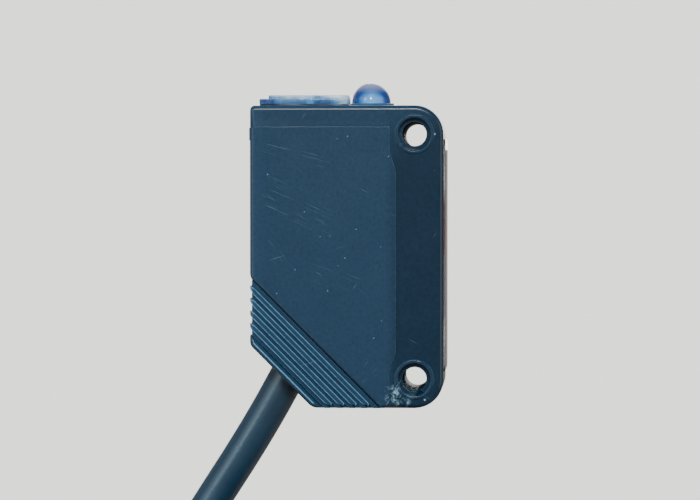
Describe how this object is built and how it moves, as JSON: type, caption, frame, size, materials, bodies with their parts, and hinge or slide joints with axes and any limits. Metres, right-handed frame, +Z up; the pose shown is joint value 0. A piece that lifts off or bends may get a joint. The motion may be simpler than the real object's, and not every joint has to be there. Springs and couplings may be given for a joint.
{
  "type": "photoelectric sensor",
  "caption": "Compact square photoelectric sensor: moulded case with tapped side holes, front window, top adjusters under a clear cover with a blue indicator dome, and a coiled pre-wired cable.",
  "frame": {"origin": "midway between the two tapped mounting holes, on the mounting side plane y = 0", "axes": "+X is the sensing direction out of the front window, +Z is up through the indicator dome, +Y points out of the mounting side"},
  "size_m": [0.0639, 0.0292, 0.1712],
  "materials": {
    "case_plastic": "matte moulded",
    "window_acrylic": "polished, smoky red",
    "clear_lens": "polished",
    "polariser_film": "film",
    "black_plastic": "matte",
    "circuit_board": "solder mask over glass fibre board",
    "led_package": "semi-gloss",
    "tinned_steel": "tinned",
    "ceramic_chip": "fired",
    "yellow_plastic": "moulded",
    "gold_pin": "plated",
    "blue_plastic": "moulded",
    "white_plastic": "moulded nylon",
    "orange_plastic": "moulded",
    "black_rubber": "smooth",
    "clear_cover": "clear, faint blue",
    "blue_dome": "clear blue, polished",
    "copper_wire": "insulated",
    "cable_jacket": "semi-matte PVC",
    "core_brown": "PVC",
    "core_blue": "PVC",
    "core_black": "PVC",
    "label_film": "satin film, blank"
  },
  "bodies": {
    "sensor": {"case_body": "case_plastic", "front_window": "window_acrylic", "emitter_lens": "clear_lens", "receiver_lens": "clear_lens", "emitter_polariser": "polariser_film", "receiver_polariser": "polariser_film", "optics_holder": "black_plastic", "optics_board": "circuit_board", "emitter_led": "led_package", "receiver_diode": "black_plastic", "shield_can": "tinned_steel", "main_board": "circuit_board", "control_chip": "black_plastic", "output_transistor": "black_plastic", "board_passives": "ceramic_chip", "tantalum_capacitor": "yellow_plastic", "link_pins": "gold_pin", "panel_board": "circuit_board", "sensitivity_trimmer": "blue_plastic", "mode_switch": "black_plastic", "stability_led": "led_package", "output_led": "led_package", "panel_gasket": "black_rubber", "panel_cover": "clear_cover", "indicator_dome": "blue_dome", "cable_grommet": "black_rubber", "crimp_ring": "tinned_steel", "inner_wires": "copper_wire", "cable_lead": "cable_jacket", "cable_coil": "cable_jacket", "cable_tail": "cable_jacket", "core_brown": "core_brown", "core_blue": "core_blue", "core_black": "core_black", "core_tips": "tinned_steel", "tie_right": "white_plastic", "tie_left": "white_plastic", "side_label": "label_film"},
    "sensitivity_adjuster": {"sensitivity_dial": "white_plastic", "sensitivity_seal": "black_rubber"},
    "operation_selector": {"mode_dial": "orange_plastic", "mode_seal": "black_rubber"}
  },
  "joints": [
    {"name": "sensitivity_turn", "type": "hinge", "parent": "sensor", "child": "sensitivity_adjuster", "pos_m": [-0.0089, -0.0054, 0.0155], "axis": [0, 0, 1], "range_deg": [-120, 120]},
    {"name": "selector_turn", "type": "hinge", "parent": "sensor", "child": "operation_selector", "pos_m": [-0.0133, -0.0054, 0.0155], "axis": [0, 0, 1], "range_deg": [-180, 0]}
  ]
}
